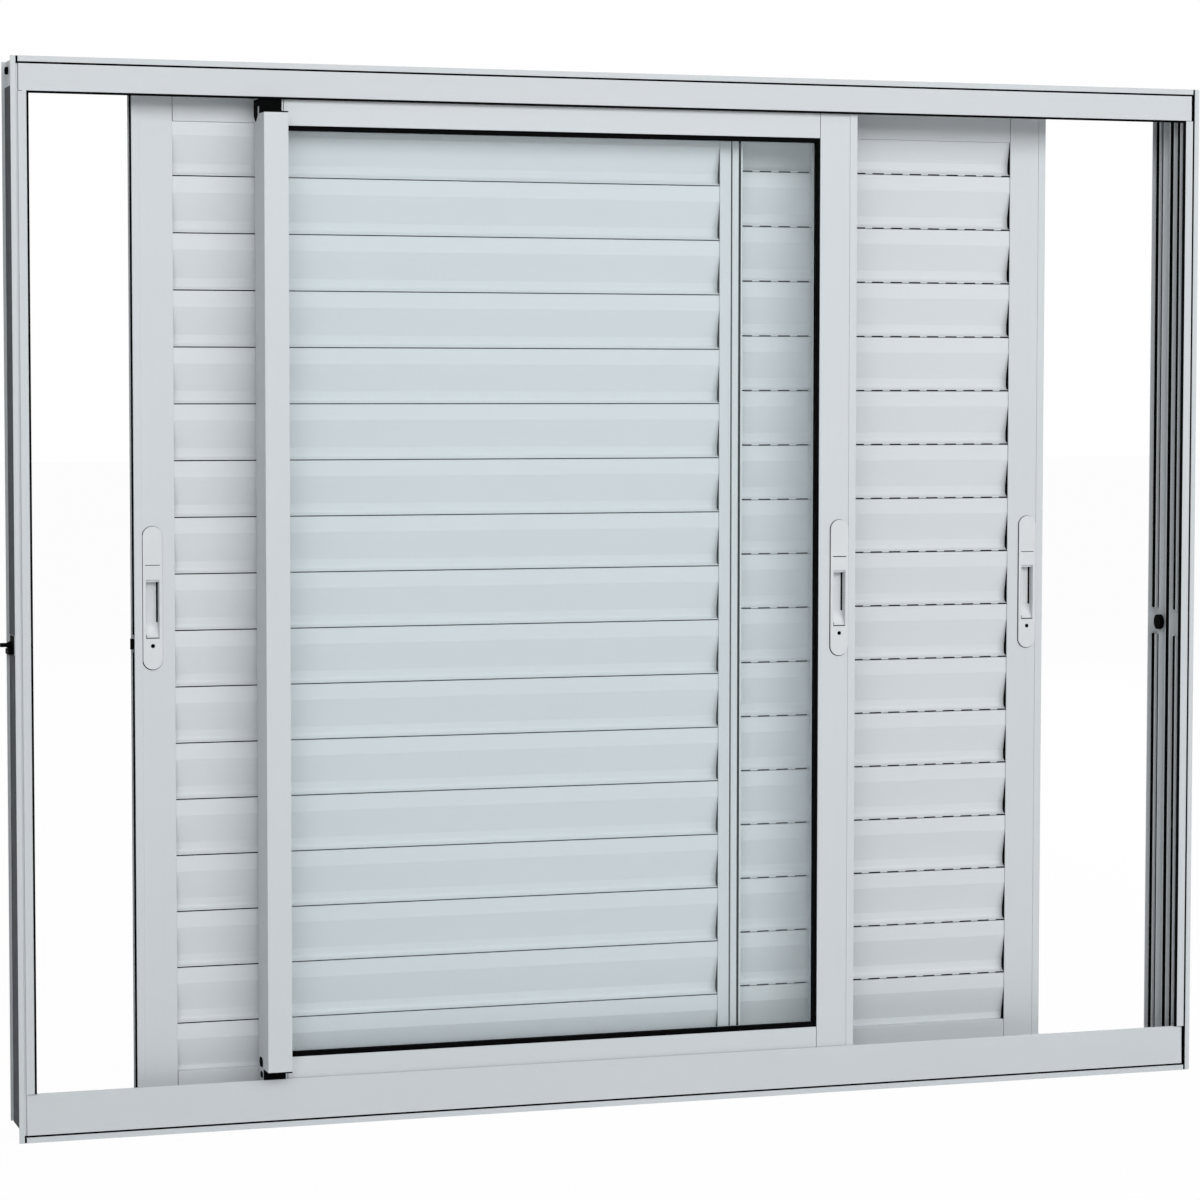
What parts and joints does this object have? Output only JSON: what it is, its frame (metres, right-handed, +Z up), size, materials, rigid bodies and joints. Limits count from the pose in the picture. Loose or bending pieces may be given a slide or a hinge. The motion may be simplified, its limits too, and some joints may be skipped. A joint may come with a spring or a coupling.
{
  "type": "three-leaf sliding shutter window",
  "caption": "Sliding aluminium window with a glass leaf, a plain louvre shutter leaf and a ventilated louvre shutter leaf in a three-track frame.",
  "frame": {"origin": "on the sill's flat underside, at the middle of the window's width and of the frame's depth", "axes": "+X along the window, to the right as seen from the room; +Y from the room to the outside; +Z up"},
  "size_m": [1.205, 0.091, 1],
  "materials": {
    "pale_paint": "pale cool grey powder coat on extruded aluminium, satin, fine orange peel",
    "pale_plastic": "moulded nylon in the frame's colour, satin",
    "black_plastic": "black moulded nylon, satin",
    "black_rubber": "black glazing rubber, matt",
    "glass": "clear float glass, 4 mm, slight blue green tint"
  },
  "bodies": {
    "root": {"glass_gasket": "black_rubber", "glass_leaf_bottom_rail": "pale_paint", "glass_leaf_grip_stile": "pale_paint", "glass_leaf_latch": "black_plastic", "glass_leaf_lock_stile": "pale_paint", "glass_leaf_pull": "pale_plastic", "glass_leaf_roller_carriages": "black_plastic", "glass_leaf_rollers": "black_plastic", "glass_leaf_top_guides": "black_plastic", "glass_leaf_top_rail": "pale_paint", "glass_pane": "glass", "grip_bottom_cap": "black_plastic", "grip_top_cap": "black_plastic", "head": "pale_paint", "head_seal": "black_rubber", "left_jamb": "pale_paint", "left_jamb_seal": "black_rubber", "left_jamb_strike": "black_plastic", "left_shutter_bottom_rail": "pale_paint", "left_shutter_latch": "black_plastic", "left_shutter_meeting_stile": "pale_paint", "left_shutter_outer_stile": "pale_paint", "left_shutter_pull": "pale_plastic", "left_shutter_roller_carriages": "black_plastic", "left_shutter_rollers": "black_plastic", "left_shutter_slats": "pale_paint", "left_shutter_top_guides": "black_plastic", "left_shutter_top_rail": "pale_paint", "right_jamb": "pale_paint", "right_jamb_bumper": "black_rubber", "right_jamb_seal": "black_rubber", "right_shutter_bottom_rail": "pale_paint", "right_shutter_latch": "black_plastic", "right_shutter_meeting_stile": "pale_paint", "right_shutter_outer_stile": "pale_paint", "right_shutter_pull": "pale_plastic", "right_shutter_roller_carriages": "black_plastic", "right_shutter_rollers": "black_plastic", "right_shutter_slats": "pale_paint", "right_shutter_top_guides": "black_plastic", "right_shutter_top_rail": "pale_paint", "sill": "pale_paint"}
  },
  "joints": []
}
